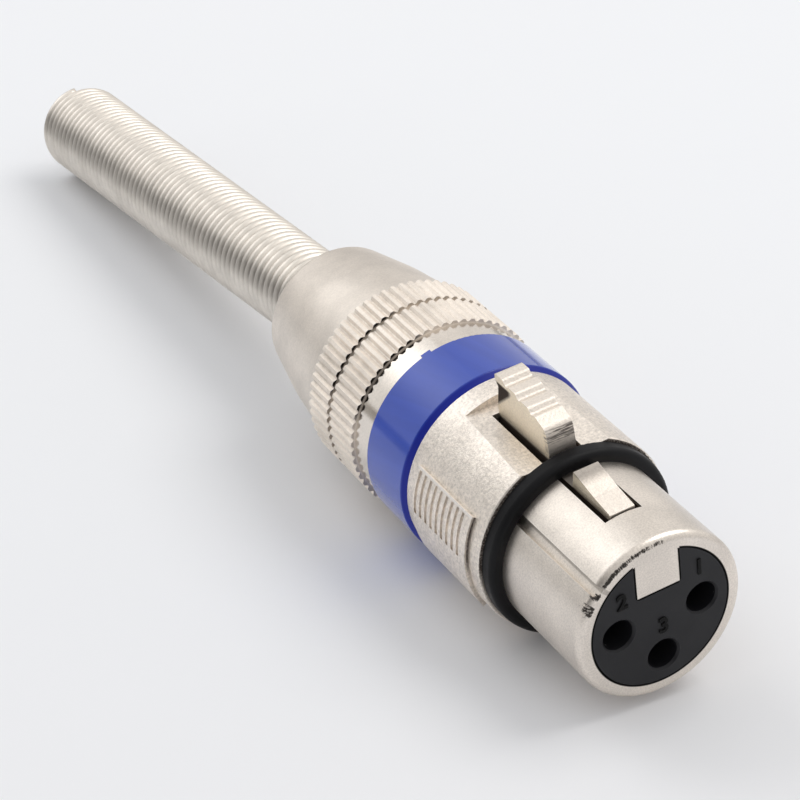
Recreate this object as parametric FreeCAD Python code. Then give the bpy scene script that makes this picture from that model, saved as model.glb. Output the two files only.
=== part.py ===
import FreeCAD, Part

import math
import os

os.makedirs("parts", exist_ok=True)
V = FreeCAD.Vector

# Three-pole cable socket with a sprung latch, a coding ring and a wound spring tail.
# Origin: centre of the mating face. +Y runs back along the body to the tail, +Z goes up
# through the latch, and +X is on the right of somebody who looks at the mating face.
# All sizes are in millimetres, and angles about the body are taken from +Z towards +X.

# Nose
NOSE_R = 8.05
NOSE_LENGTH = 12.0
NOSE_EDGE_ROUND = 0.8
NOSE_WALL = 1.4
KEYWAY_ANGLE = -46.5
KEYWAY_WIDTH = 1.0
KEYWAY_DEPTH = 0.6
WINDOW_FRONT = 4.64
WINDOW_HALF = 1.8
WINDOW_DEPTH = 2.25

# Key tongue in the mating face
TONGUE_HALF = 2.2
TONGUE_FLOOR = 2.75
TONGUE_LENGTH = 3.2
TONGUE_ROUND = 0.45

# Sealing ring on the shoulder
SEAL_WIDTH = 1.6
SEAL_DROP = 0.3
SEAL_FRONT_ROUND = 0.6
SEAL_REAR_ROUND = 0.15

# Body of the front shell, and the threaded tube behind it
SHOULDER_RISE = 1.45
BODY_LENGTH = 12.5
BODY_EDGE = 0.2
BORE_STEP = 0.9
TUBE_DROP = 0.9
TUBE_WALL = 1.2
TUBE_LENGTH = 14.9
TUBE_CHAMFER = 0.5

# Flat round the lever, and the slot that the lever moves in
FLAT_DEPTH_FRONT = 1.1
FLAT_DEPTH_REAR = 0.85
FLAT_LENGTH = 10.15
SLOT_HALF = 2.0
SLOT_LENGTH = 8.8

# Grip pads on both sides
PAD_RISE = 0.35
PAD_FRONT = 1.8
PAD_LENGTH = 9.4
PAD_REAR_ROUND = 0.3
PAD_TOP_ANGLE = 60.0
PAD_SWEEP = 60.0
PAD_RIGHT_LOWER = 16.0
GROOVE_COUNT = 9
GROOVE_PITCH = 0.925
GROOVE_WIDTH = 0.42
GROOVE_DEPTH = 0.18
GROOVE_FIRST = 1.05
GROOVE_TOP_GAP = 1.6
GROOVE_SWEEP = 25.0

# Insert and its contacts
INSERT_GAP = 0.05
FLANGE_LENGTH = 13.0
PIN_CIRCLE_R = 4.1
HOLE_R = 1.45
HOLE_CHAMFER = 0.2
CONTACT_RECESS = 3.0
CONTACT_R = 1.75
CONTACT_EDGE = 0.15
CONTACT_BORE_R = 1.21
CONTACT_MOUTH = 0.25
CONTACT_BORE_LENGTH = 10.5
CONTACT_SLIT = 0.35
CONTACT_SLIT_LENGTH = 7.0
CUP_R = 1.45
CUP_BORE_R = 1.05
CUP_IN = 4.5
CUP_OUT = 4.0
CUP_FLOOR = 1.0
CUP_OPEN_LENGTH = 3.6
CUP_LIP = 0.3
CONTACT_ANGLES = {"contact_1": 90.0, "contact_2": -90.0, "contact_3": 180.0}

# Ground lug on the back of the insert
LUG_ANGLE = -135.0
LUG_WIDTH = 2.2
LUG_THICKNESS = 0.5
LUG_DROP = 2.9
LUG_LENGTH = 6.0
LUG_HOLE_R = 0.5
LUG_HOLE_END = 1.5

# Latch lever: heights are taken from the nose and the body, lengths from the slot and the window
PIVOT_BEHIND_SLOT = 3.6
PIVOT_DROP = 1.4
TRUNNION_R = 0.7
TRUNNION_HALF = 2.95
TRUNNION_GAP = 0.05
HUB_R = 0.9
ARM_HALF = 1.2
ARM_DROP = 0.45
ARM_DEPTH = 1.8
ARM_FRONT_DEPTH = 1.1
ARM_FRONT_TAPER = 1.4
ARM_FRONT_GAP = 0.16
HOOK_LIP_RISE = 0.15
HOOK_RAMP_LENGTH = 2.5
HOOK_CREASE_RISE = 0.6
HOOK_CREASE_ROUND = 0.4
HOOK_LENGTH = 5.5
HOOK_PEAK_RISE = 1.4
HOOK_BACK_SLOPE = 0.4
SMALL_ROUND = 0.1
THUMB_HALF = 1.35
THUMB_GAP = 0.35
THUMB_REAR_GAP = 0.1
THUMB_FRONT_RISE = 1.9
THUMB_FRONT_LEAN = 0.25
THUMB_FRONT_ROUND = 1.0
THUMB_REAR_RISE = 3.45
THUMB_LIP = 0.6
THUMB_UNDERCUT = 0.45
RIDGE_COUNT = 4
RIDGE_FIRST = 2.3
RIDGE_FIRST_RISE = 2.5
RIDGE_PITCH = 2.05
RIDGE_DEPTH = 0.55
RIDGE_ROUND = 0.4
RIDGE_FACE = 0.52
RIDGE_VALLEY = 0.76

# Latch spring under the lever
SPRING_FROM_SHOULDER = 4.4
SPRING_R = 1.0
SPRING_WIRE_R = 0.18
SPRING_WIRE_SIDES = 12
SPRING_TURNS = 4
SPRING_SEAT_DEPTH = 0.4
SPRING_SEAT_GAP = 0.2

# Coding ring
RING_RISE = 0.35
RING_LENGTH = 7.0
RING_LIP = 0.65
RING_LIP_DROP = 0.05
RING_ROUND = 0.2
RUNNING_GAP = 0.05

# Rear boot with its two knurled bands: outer heights are taken from the body
COLLAR_RISE = 0.08
COLLAR_LENGTH = 2.7
KNURL_RISE = 0.5
KNURL_DEPTH = 0.27
KNURL_FRONT_BAND = 4.3
KNURL_GAP = 0.5
KNURL_GAP_RISE = 0.05
KNURL_REAR_BAND = 3.6
KNURL_TEETH = 64
KNURL_TOP_SHARE = 0.34
KNURL_ROOT_SHARE = 0.12
CONE_BULGE = 0.25
CONE_BULGE_ROUND = 30.0
RIM_WIDTH = 1.65
RIM_ROUND = 1.1
MOUTH_FLARE = 0.6
MOUTH_ROUND = 0.3
MOUTH_LENGTH = 1.2
EXIT_GAP = 0.3
EXIT_BORE_LENGTH = 3.6
HEAD_GAP = 0.5
RETAINER_LENGTH = 1.6
RETAINER_STEP = 2.0

# Cable clamp
CLAMP_GAP = 0.1
CLAMP_SKIRT_WALL = 1.0
CLAMP_CAVITY_LENGTH = 7.0
CLAMP_NECK_LENGTH = 2.6
CLAMP_BORE_R = 3.3
CLAMP_FLANGE_DROP = 0.15
CLAMP_FLANGE_LENGTH = 1.5
CLAMP_CLAW_LENGTH = 4.8
CLAMP_CLAW_WALL = 2.7
CLAMP_SLIT = 1.0
CLAMP_SEAT_GAP = 0.2
CLAMP_END_GAP = 1.045

# Spring tail: close-wound round wire that widens a little and droops behind the boot
TAIL_WIRE = 1.135
TAIL_START_R = 4.6
TAIL_END_R = 5.25
TAIL_TURNS = 62
TAIL_NECK_TURNS = 7
TAIL_HEAD_TURNS = 3
TAIL_HEAD_RISE = 0.8
TAIL_HEAD_GAP = 0.05
TAIL_GROOVE = 0.3
TAIL_DROOP = 7.4

# How far a cutter runs past a surface, and how far a raised feature is rooted in what carries it
PAST = 1.0
ROOT = 0.2

# Radii worked out from the sizes above
BODY_R = NOSE_R + SHOULDER_RISE
INSERT_BORE_R = NOSE_R - NOSE_WALL
SEAL_R = BODY_R - SEAL_DROP
TUBE_R = BODY_R - TUBE_DROP
REAR_BORE_R = TUBE_R - TUBE_WALL
PAD_R = BODY_R + PAD_RISE
THREAD_BORE_R = TUBE_R + RUNNING_GAP
KNURL_R = BODY_R + KNURL_RISE
KNURL_ROOT_R = KNURL_R - KNURL_DEPTH
TAIL_HEAD_R = TAIL_START_R + TAIL_HEAD_RISE
HEAD_POCKET_R = TAIL_HEAD_R + HEAD_GAP
EXIT_BORE_R = TAIL_START_R + EXIT_GAP
MOUTH_R = EXIT_BORE_R + MOUTH_FLARE
CLAMP_SKIRT_R = REAR_BORE_R - CLAMP_GAP
CLAMP_CAVITY_R = CLAMP_SKIRT_R - CLAMP_SKIRT_WALL
CLAMP_FLANGE_R = TUBE_R - CLAMP_FLANGE_DROP
CLAMP_TIP_R = CLAMP_BORE_R + CLAMP_CLAW_WALL

# Stations along the body, worked out from the sizes above
SHOULDER = NOSE_LENGTH + SEAL_WIDTH
BODY_END = SHOULDER + BODY_LENGTH
TUBE_END = BODY_END + TUBE_LENGTH
STEP_Y = SHOULDER + BORE_STEP
SLOT_END = SHOULDER + SLOT_LENGTH
FLAT_END = SHOULDER + FLAT_LENGTH
PAD_Y = SHOULDER + PAD_FRONT
INSERT_END = STEP_Y + FLANGE_LENGTH
RING_END = BODY_END + RING_LENGTH
KNURL_Y = RING_END + COLLAR_LENGTH
KNURL_MIDDLE = KNURL_Y + KNURL_FRONT_BAND
KNURL_REAR_Y = KNURL_MIDDLE + KNURL_GAP
KNURL_END = KNURL_REAR_Y + KNURL_REAR_BAND
CLAW_Y = TUBE_END + CLAMP_FLANGE_LENGTH
CLAW_END = CLAW_Y + CLAMP_CLAW_LENGTH
POCKET_Y = CLAW_END + CLAMP_END_GAP
RETAINER_END = POCKET_Y + RETAINER_LENGTH
HEAD_STOP = RETAINER_END + TAIL_HEAD_TURNS * TAIL_WIRE + TAIL_HEAD_GAP
MOUTH_Y = HEAD_STOP + EXIT_BORE_LENGTH
RIM_Y = MOUTH_Y + MOUTH_LENGTH
TAIL_BEND_Y = RETAINER_END + (TAIL_NECK_TURNS - 0.5) * TAIL_WIRE
PIVOT_Y = SLOT_END + PIVOT_BEHIND_SLOT
PIVOT_Z = REAR_BORE_R - PIVOT_DROP
ARM_TOP = NOSE_R - ARM_DROP
ARM_BOTTOM = ARM_TOP - ARM_DEPTH
SPRING_Y = SHOULDER + SPRING_FROM_SHOULDER
NOTCH_FLOOR = TONGUE_FLOOR - INSERT_GAP
AXIS = V(0, 1, 0)
ORIGIN = V(0, 0, 0)


def corner_points(before, point, after):
    """The one point of a sharp corner, or the start, middle and end of a rounded one."""
    u, v = point[0], point[1]
    if len(point) < 3:
        return [(u, v)]
    a = V(before[0] - u, before[1] - v, 0)
    b = V(after[0] - u, after[1] - v, 0)
    half = a.getAngle(b) / 2
    back = min(point[2] / math.tan(half), 0.49 * a.Length, 0.49 * b.Length)
    radius = back * math.tan(half)
    a.normalize()
    b.normalize()
    middle = (a + b).normalize() * (radius / math.sin(half) - radius)
    return [(u + a.x * back, v + a.y * back),
            (u + middle.x, v + middle.y),
            (u + b.x * back, v + b.y * back)]


def outline(points, place):
    """A flat face round (u, v) points; a third value in a point rounds that corner."""
    count = len(points)
    corners = []
    for i, point in enumerate(points):
        corners.append(corner_points(points[i - 1], point, points[(i + 1) % count]))
    edges = []
    for i, corner in enumerate(corners):
        if len(corner) == 3:
            edges.append(Part.Arc(*[place(*p) for p in corner]).toShape())
        start = place(*corner[-1])
        end = place(*corners[(i + 1) % count][0])
        if start.distanceToPoint(end) > 1e-6:
            edges.append(Part.makeLine(start, end))
    return Part.Face(Part.Wire(edges))


def turned(points):
    """A solid turned about the Y axis from (y, radius) points."""
    face = outline(points, lambda y, r: V(r, y, 0))
    return face.revolve(ORIGIN, AXIS, 360)


def sector(points, start, sweep):
    """Part of a turned ring, from an angle and over a sweep about the Y axis."""
    face = outline(points, lambda y, r: V(0, y, r))
    face.rotate(ORIGIN, AXIS, start)
    return face.revolve(ORIGIN, AXIS, sweep)


def plate(points, half_width):
    """A side outline of (y, z) points, given a width across X."""
    face = outline(points, lambda y, z: V(-half_width, y, z))
    return face.extrude(V(2 * half_width, 0, 0))


def bar(points, start, end):
    """A cross section of (x, z) points, drawn out along Y."""
    face = outline(points, lambda x, z: V(x, start, z))
    return face.extrude(V(0, end - start, 0))


def block(x0, x1, y0, y1, z0, z1):
    """A box between two corners."""
    return Part.makeBox(x1 - x0, y1 - y0, z1 - z0, V(x0, y0, z0))


def rod(radius, start, end, x=0.0, z=0.0):
    """A round bar along Y."""
    return Part.makeCylinder(radius, end - start, V(x, start, z), AXIS)


def cross_pin(radius, half_length, y, z):
    """A round bar along X."""
    return Part.makeCylinder(radius, 2 * half_length, V(-half_length, y, z), V(1, 0, 0))


def around(shape, angle):
    """A copy of a shape, turned about the Y axis."""
    return shape.rotated(ORIGIN, AXIS, angle)


def pad_grooves():
    """The short finger grooves of the left pad, cut round the body."""
    cuts = []
    for i in range(GROOVE_COUNT):
        y = PAD_Y + GROOVE_FIRST + i * GROOVE_PITCH
        section = [(y, PAD_R - GROOVE_DEPTH), (y + GROOVE_WIDTH, PAD_R - GROOVE_DEPTH),
                   (y + GROOVE_WIDTH, PAD_R + PAST), (y, PAD_R + PAST)]
        cuts.append(sector(section, -(PAD_TOP_ANGLE + GROOVE_TOP_GAP), -GROOVE_SWEEP))
    return Part.makeCompound(cuts)


def side_pads():
    """Both raised grip pads; the right one sits lower on the body."""
    section = [(PAD_Y, BODY_R - ROOT), (PAD_Y + PAD_LENGTH, BODY_R - ROOT),
               (PAD_Y + PAD_LENGTH, PAD_R, PAD_REAR_ROUND), (PAD_Y, PAD_R)]
    pad = sector(section, -PAD_TOP_ANGLE, -PAD_SWEEP).cut(pad_grooves())
    return [pad, around(pad.mirror(ORIGIN, V(1, 0, 0)), PAD_RIGHT_LOWER)]


def front_shell():
    """One casting: nose, key tongue, body with lever slot and pads, threaded rear tube."""
    shell = turned([(0, INSERT_BORE_R), (0, NOSE_R, NOSE_EDGE_ROUND), (SHOULDER, NOSE_R),
                    (SHOULDER, BODY_R, BODY_EDGE), (BODY_END, BODY_R), (BODY_END, TUBE_R),
                    (TUBE_END - TUBE_CHAMFER, TUBE_R), (TUBE_END, TUBE_R - TUBE_CHAMFER),
                    (TUBE_END, REAR_BORE_R), (STEP_Y, REAR_BORE_R), (STEP_Y, INSERT_BORE_R)])
    tongue_top = INSERT_BORE_R + ROOT
    tongue = bar([(-TONGUE_HALF, TONGUE_FLOOR, TONGUE_ROUND), (TONGUE_HALF, TONGUE_FLOOR, TONGUE_ROUND),
                  (TONGUE_HALF, tongue_top), (-TONGUE_HALF, tongue_top)], 0, TONGUE_LENGTH)
    shell = shell.fuse([tongue] + side_pads())
    clear = BODY_R + PAST
    floor = NOSE_R - WINDOW_DEPTH
    window = block(-WINDOW_HALF, WINDOW_HALF, WINDOW_FRONT, SHOULDER, floor, clear)
    slot = block(-SLOT_HALF, SLOT_HALF, SHOULDER, SLOT_END, floor, clear)
    flat = plate([(SHOULDER, BODY_R - FLAT_DEPTH_FRONT), (FLAT_END, BODY_R - FLAT_DEPTH_REAR),
                  (FLAT_END, clear), (SHOULDER, clear)], BODY_R)
    half_key = KEYWAY_WIDTH / 2
    keyway = block(-half_key, half_key, -PAST, SHOULDER, NOSE_R - KEYWAY_DEPTH, NOSE_R + PAST)
    return shell.cut([window, slot, flat, around(keyway, KEYWAY_ANGLE)]).removeSplitter()


def seal_ring():
    """The black ring that sits on the nose against the body's shoulder."""
    return turned([(NOSE_LENGTH, NOSE_R), (NOSE_LENGTH, SEAL_R, SEAL_FRONT_ROUND),
                   (SHOULDER, SEAL_R, SEAL_REAR_ROUND), (SHOULDER, NOSE_R)])


def contact_place(angle):
    """Centre of a contact in the face, as x and z."""
    a = math.radians(angle)
    return PIN_CIRCLE_R * math.sin(a), PIN_CIRCLE_R * math.cos(a)


def lug_foot(gap):
    """The lug's foot in the back face of the insert, at the top of the bore before it is turned."""
    half = LUG_WIDTH / 2 + gap
    foot = block(-half, half, INSERT_END - LUG_THICKNESS, INSERT_END,
                 REAR_BORE_R - LUG_DROP - gap, REAR_BORE_R)
    return foot.common(rod(REAR_BORE_R, INSERT_END - LUG_THICKNESS, INSERT_END))


def insert():
    """The moulded insert: three contact holes, key notch, spring seat and lever bearings."""
    front_r = INSERT_BORE_R - INSERT_GAP
    flange_r = REAR_BORE_R - INSERT_GAP
    body = turned([(0, 0), (0, front_r), (STEP_Y, front_r), (STEP_Y, flange_r),
                   (INSERT_END, flange_r), (INSERT_END, 0)])
    half_notch = TONGUE_HALF + INSERT_GAP
    cuts = [bar([(-half_notch, NOTCH_FLOOR, TONGUE_ROUND), (half_notch, NOTCH_FLOOR, TONGUE_ROUND),
                 (half_notch, BODY_R), (-half_notch, BODY_R)], -PAST, INSERT_END + PAST)]
    for angle in CONTACT_ANGLES.values():
        x, z = contact_place(angle)
        cuts.append(rod(HOLE_R, -PAST, CONTACT_RECESS, x, z))
        cuts.append(rod(CONTACT_R + INSERT_GAP, CONTACT_RECESS, INSERT_END + PAST, x, z))
        cuts.append(Part.makeCone(HOLE_R + HOLE_CHAMFER, HOLE_R, HOLE_CHAMFER, V(x, 0, z), AXIS))
    bearing_r = TRUNNION_R + TRUNNION_GAP
    bearing_half = TRUNNION_HALF + TRUNNION_GAP
    cuts.append(cross_pin(bearing_r, bearing_half, PIVOT_Y, PIVOT_Z))
    cuts.append(block(-bearing_half, bearing_half, PIVOT_Y - bearing_r, PIVOT_Y + bearing_r, PIVOT_Z, BODY_R))
    seat_r = SPRING_R + SPRING_WIRE_R + SPRING_SEAT_GAP
    cuts.append(Part.makeCylinder(seat_r, BODY_R, V(0, SPRING_Y, NOTCH_FLOOR - SPRING_SEAT_DEPTH)))
    cuts.append(around(lug_foot(INSERT_GAP), LUG_ANGLE))
    return body.cut(cuts).removeSplitter()


def ground_lug():
    """A bent strip from the shell's bore to a solder tail with a wire hole."""
    inner = REAR_BORE_R - LUG_DROP
    tail_end = INSERT_END + LUG_LENGTH
    tail = block(-LUG_WIDTH / 2, LUG_WIDTH / 2, INSERT_END - LUG_THICKNESS, tail_end,
                 inner, inner + LUG_THICKNESS)
    hole = Part.makeCylinder(LUG_HOLE_R, REAR_BORE_R, V(0, tail_end - LUG_HOLE_END, 0))
    return around(lug_foot(0).fuse(tail).cut(hole).removeSplitter(), LUG_ANGLE)


def contact(angle):
    """A turned socket contact: slit spring sleeve in front, open solder cup behind."""
    front = CONTACT_RECESS
    bore_end = front + CONTACT_BORE_LENGTH
    cup_start = INSERT_END - CUP_IN
    cup_end = INSERT_END + CUP_OUT
    piece = turned([(front, CONTACT_BORE_R + CONTACT_MOUTH), (front, CONTACT_R, CONTACT_EDGE),
                    (cup_start, CONTACT_R), (cup_start, CUP_R), (cup_end, CUP_R), (cup_end, CUP_BORE_R),
                    (cup_start + CUP_FLOOR, CUP_BORE_R), (cup_start + CUP_FLOOR, 0), (bore_end, 0),
                    (bore_end, CONTACT_BORE_R), (front + CONTACT_MOUTH, CONTACT_BORE_R)])
    half = CONTACT_SLIT / 2
    slit = block(-half, half, front - PAST, front + CONTACT_SLIT_LENGTH, -CONTACT_R, CONTACT_R)
    cup_cut = block(-CUP_R, CUP_R, cup_end - CUP_OPEN_LENGTH, cup_end + PAST, CUP_LIP, CUP_R + PAST)
    piece = piece.cut([slit, cup_cut])
    x, z = contact_place(angle)
    piece.translate(V(x, 0, z))
    return piece


def ridge_top():
    """The wavy thumb surface, from the front ridge to the rear one, as (y, z, round) points."""
    rise = (THUMB_REAR_RISE - RIDGE_FIRST_RISE) / (RIDGE_COUNT - 1)
    points = []
    for i in range(RIDGE_COUNT):
        y = SHOULDER + RIDGE_FIRST + i * RIDGE_PITCH
        z = BODY_R + RIDGE_FIRST_RISE + i * rise
        if i > 0:
            points.append((y - RIDGE_VALLEY * RIDGE_PITCH, z - RIDGE_DEPTH, RIDGE_ROUND))
            points.append((y - RIDGE_FACE * RIDGE_PITCH, z, RIDGE_ROUND))
        points.append((y, z, RIDGE_ROUND))
    return points


def latch_lever():
    """One casting: hook and arm in front, stepped thumb piece, trunnions behind."""
    tip = WINDOW_FRONT + ARM_FRONT_GAP
    peak = tip + HOOK_LENGTH
    thumb_front = SHOULDER + THUMB_GAP
    thumb_rear = SLOT_END - THUMB_REAR_GAP
    back = thumb_rear - THUMB_UNDERCUT
    tail = PIVOT_Y + HUB_R
    rear_top = BODY_R + THUMB_REAR_RISE
    arm = plate([(tip, ARM_TOP - ARM_FRONT_DEPTH), (tip, NOSE_R + HOOK_LIP_RISE, SMALL_ROUND),
                 (tip + HOOK_RAMP_LENGTH, NOSE_R + HOOK_CREASE_RISE, HOOK_CREASE_ROUND),
                 (peak, NOSE_R + HOOK_PEAK_RISE, SMALL_ROUND), (peak + HOOK_BACK_SLOPE, ARM_TOP),
                 (back, ARM_TOP), (SLOT_END, PIVOT_Z + HUB_R), (tail, PIVOT_Z + HUB_R, HUB_R),
                 (tail, PIVOT_Z - HUB_R, HUB_R), (back, ARM_BOTTOM), (thumb_front, ARM_BOTTOM),
                 (thumb_front - ARM_FRONT_TAPER, ARM_TOP - ARM_FRONT_DEPTH)], ARM_HALF)
    thumb = plate([(thumb_front, ARM_BOTTOM), (thumb_front, BODY_R, RIDGE_ROUND),
                   (thumb_front + THUMB_FRONT_LEAN, BODY_R + THUMB_FRONT_RISE, THUMB_FRONT_ROUND)]
                  + ridge_top()
                  + [(thumb_rear, rear_top - SMALL_ROUND, SMALL_ROUND),
                     (thumb_rear, rear_top - THUMB_LIP, ROOT),
                     (back, rear_top - 2 * THUMB_LIP, RIDGE_ROUND), (thumb_rear, BODY_R),
                     (thumb_rear, ARM_TOP), (back, ARM_BOTTOM)], THUMB_HALF)
    trunnions = cross_pin(TRUNNION_R, TRUNNION_HALF, PIVOT_Y, PIVOT_Z)
    return arm.fuse([thumb, trunnions]).removeSplitter()


def latch_spring():
    """The small compression coil between the insert and the lever."""
    floor = NOTCH_FLOOR - SPRING_SEAT_DEPTH
    height = ARM_BOTTOM - floor - 2 * SPRING_WIRE_R
    helix = Part.makeHelix(height / SPRING_TURNS, height, SPRING_R)
    corners = []
    for i in range(SPRING_WIRE_SIDES + 1):
        a = 2 * math.pi * i / SPRING_WIRE_SIDES
        corners.append(V(SPRING_R + SPRING_WIRE_R * math.cos(a), 0, SPRING_WIRE_R * math.sin(a)))
    coil = Part.Wire(helix).makePipeShell([Part.makePolygon(corners)], True, True)
    coil.translate(V(0, SPRING_Y, floor + SPRING_WIRE_R))
    return coil


def coding_ring():
    """The coloured ring between the body and the boot."""
    outer = BODY_R + RING_RISE
    return turned([(BODY_END, THREAD_BORE_R), (BODY_END, BODY_R - RING_LIP_DROP),
                   (BODY_END + RING_LIP, outer, RING_ROUND), (RING_END, outer, RING_ROUND),
                   (RING_END, THREAD_BORE_R)])


def knurl_band(start, length):
    """A ring of straight flat-topped teeth."""
    step = 2 * math.pi / KNURL_TEETH
    flank = (1 - KNURL_TOP_SHARE - KNURL_ROOT_SHARE) / 2
    corners = [(0.0, KNURL_R), (KNURL_TOP_SHARE, KNURL_R), (KNURL_TOP_SHARE + flank, KNURL_ROOT_R),
               (1 - flank, KNURL_ROOT_R)]
    points = []
    for i in range(KNURL_TEETH):
        for share, radius in corners:
            a = (i + share) * step
            points.append((radius * math.sin(a), radius * math.cos(a)))
    return bar(points, start, start + length).cut(rod(KNURL_ROOT_R - 2 * ROOT, start, start + length))


def boot():
    """The rear nut: smooth collar, two knurled bands, rounded cone and rim, hollow inside."""
    collar_r = BODY_R + COLLAR_RISE
    under_r = KNURL_ROOT_R - ROOT
    gap_r = BODY_R + KNURL_GAP_RISE
    rim_r = MOUTH_R + RIM_WIDTH
    middle_y = (KNURL_END + RIM_Y) / 2
    middle_r = (BODY_R + rim_r) / 2 + CONE_BULGE
    core = turned([(RING_END, THREAD_BORE_R), (RING_END, collar_r), (KNURL_Y, collar_r), (KNURL_Y, under_r),
                   (KNURL_MIDDLE, under_r), (KNURL_MIDDLE, gap_r), (KNURL_REAR_Y, gap_r),
                   (KNURL_REAR_Y, under_r), (KNURL_END, under_r), (KNURL_END, BODY_R),
                   (middle_y, middle_r, CONE_BULGE_ROUND), (RIM_Y, rim_r, RIM_ROUND),
                   (RIM_Y, MOUTH_R, MOUTH_ROUND), (MOUTH_Y, EXIT_BORE_R), (HEAD_STOP, EXIT_BORE_R),
                   (HEAD_STOP, HEAD_POCKET_R), (POCKET_Y, HEAD_POCKET_R),
                   (CLAW_END, CLAMP_TIP_R + CLAMP_SEAT_GAP), (CLAW_Y, CLAMP_FLANGE_R + CLAMP_SEAT_GAP),
                   (CLAW_Y, THREAD_BORE_R)])
    bands = [knurl_band(KNURL_Y, KNURL_FRONT_BAND), knurl_band(KNURL_REAR_Y, KNURL_REAR_BAND)]
    return core.fuse(bands).removeSplitter()


def cable_clamp():
    """The slit collet that the boot squeezes round the cable."""
    cavity_end = INSERT_END + CLAMP_CAVITY_LENGTH
    neck_end = cavity_end + CLAMP_NECK_LENGTH
    body = turned([(INSERT_END, CLAMP_CAVITY_R), (INSERT_END, CLAMP_SKIRT_R), (TUBE_END, CLAMP_SKIRT_R),
                   (TUBE_END, CLAMP_FLANGE_R), (CLAW_Y, CLAMP_FLANGE_R), (CLAW_END, CLAMP_TIP_R),
                   (CLAW_END, CLAMP_BORE_R), (neck_end, CLAMP_BORE_R), (cavity_end, CLAMP_CAVITY_R)])
    half = CLAMP_SLIT / 2
    reach = CLAMP_FLANGE_R + PAST
    slits = [block(-half, half, CLAW_Y, CLAW_END + PAST, -reach, reach),
             block(-reach, reach, CLAW_Y, CLAW_END + PAST, -half, half)]
    return body.cut(slits)


def spring_retainer():
    """The ring pressed into the boot behind the clamp, which holds the tail's head."""
    bore_r = HEAD_POCKET_R - RETAINER_STEP
    return turned([(POCKET_Y, bore_r), (POCKET_Y, HEAD_POCKET_R), (RETAINER_END, HEAD_POCKET_R),
                   (RETAINER_END, bore_r)])


def wound_tube(start, turns, first_r, last_r):
    """A tube of close-wound turns: a crest for each turn, and a smooth bore."""
    points = [(start, TAIL_START_R - TAIL_WIRE)]
    for i in range(turns):
        y = start + i * TAIL_WIRE
        radius = first_r + (last_r - first_r) * (i + 0.5) / turns
        points.append((y, radius - TAIL_GROOVE))
        points.append((y + 0.5 * TAIL_WIRE, radius))
    end = start + turns * TAIL_WIRE
    bore_end_r = TAIL_START_R - TAIL_WIRE + last_r - first_r
    points += [(end, last_r - TAIL_GROOVE), (end, bore_end_r)]
    return turned(points)


def spring_tail():
    """The wound tail: wide head and straight turns in the boot, then the drooping length."""
    head = wound_tube(RETAINER_END, TAIL_HEAD_TURNS, TAIL_HEAD_R, TAIL_HEAD_R)
    neck = wound_tube(RETAINER_END, TAIL_NECK_TURNS, TAIL_START_R, TAIL_START_R)
    tail = wound_tube(-0.5 * TAIL_WIRE, TAIL_TURNS, TAIL_START_R, TAIL_END_R)
    tail.rotate(ORIGIN, V(1, 0, 0), -TAIL_DROOP)
    tail.translate(V(0, TAIL_BEND_Y, 0))
    return head.fuse([neck, tail]).removeSplitter()


PIECES = {
    "front_shell": front_shell,
    "seal_ring": seal_ring,
    "insert": insert,
    "ground_lug": ground_lug,
    "cable_clamp": cable_clamp,
    "latch_lever": latch_lever,
    "latch_spring": latch_spring,
    "coding_ring": coding_ring,
    "boot": boot,
    "spring_retainer": spring_retainer,
    "spring_tail": spring_tail,
}

for name, make in PIECES.items():
    make().exportStep("parts/" + name + ".step")
for name, angle in CONTACT_ANGLES.items():
    contact(angle).exportStep("parts/" + name + ".step")
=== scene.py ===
import math

import bmesh
import bpy
from mathutils import Matrix, Quaternion, Vector


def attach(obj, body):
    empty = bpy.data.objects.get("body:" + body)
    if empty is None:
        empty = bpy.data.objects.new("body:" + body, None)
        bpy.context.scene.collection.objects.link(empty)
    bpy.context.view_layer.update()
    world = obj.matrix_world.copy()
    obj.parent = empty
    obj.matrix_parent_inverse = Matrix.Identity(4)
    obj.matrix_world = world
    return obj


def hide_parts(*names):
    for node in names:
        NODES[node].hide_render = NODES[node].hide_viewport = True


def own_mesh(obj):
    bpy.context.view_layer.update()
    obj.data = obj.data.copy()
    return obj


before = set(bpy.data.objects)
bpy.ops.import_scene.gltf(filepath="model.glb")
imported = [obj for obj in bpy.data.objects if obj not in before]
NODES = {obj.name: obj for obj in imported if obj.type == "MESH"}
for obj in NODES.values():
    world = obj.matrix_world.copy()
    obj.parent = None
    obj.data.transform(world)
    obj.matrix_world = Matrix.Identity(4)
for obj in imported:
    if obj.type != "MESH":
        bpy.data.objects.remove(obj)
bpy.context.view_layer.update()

bl_info = {
    "name": "XLR plug",
    "version": (1, 0, 0),
    "blender": (4, 5, 0),
    "location": "3D View > Sidebar > XLR plug",
    "description": "Dresses the packed XLR plug: castings, coil, numerals, coding ring and studio",
    "category": "Object",
}

MM = 0.001


# Stations along the body, in metres: the same as in the part's source
SHOULDER_Y = 13.6 * MM
BODY_END_Y = 26.1 * MM
RING_END_Y = 33.1 * MM
KNURL_FRONT_Y = 35.8 * MM
KNURL_MIDDLE_Y = 40.1 * MM
KNURL_REAR_Y = 40.6 * MM
KNURL_END_Y = 44.2 * MM
RETAINER_END_Y = 49.945 * MM


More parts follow.
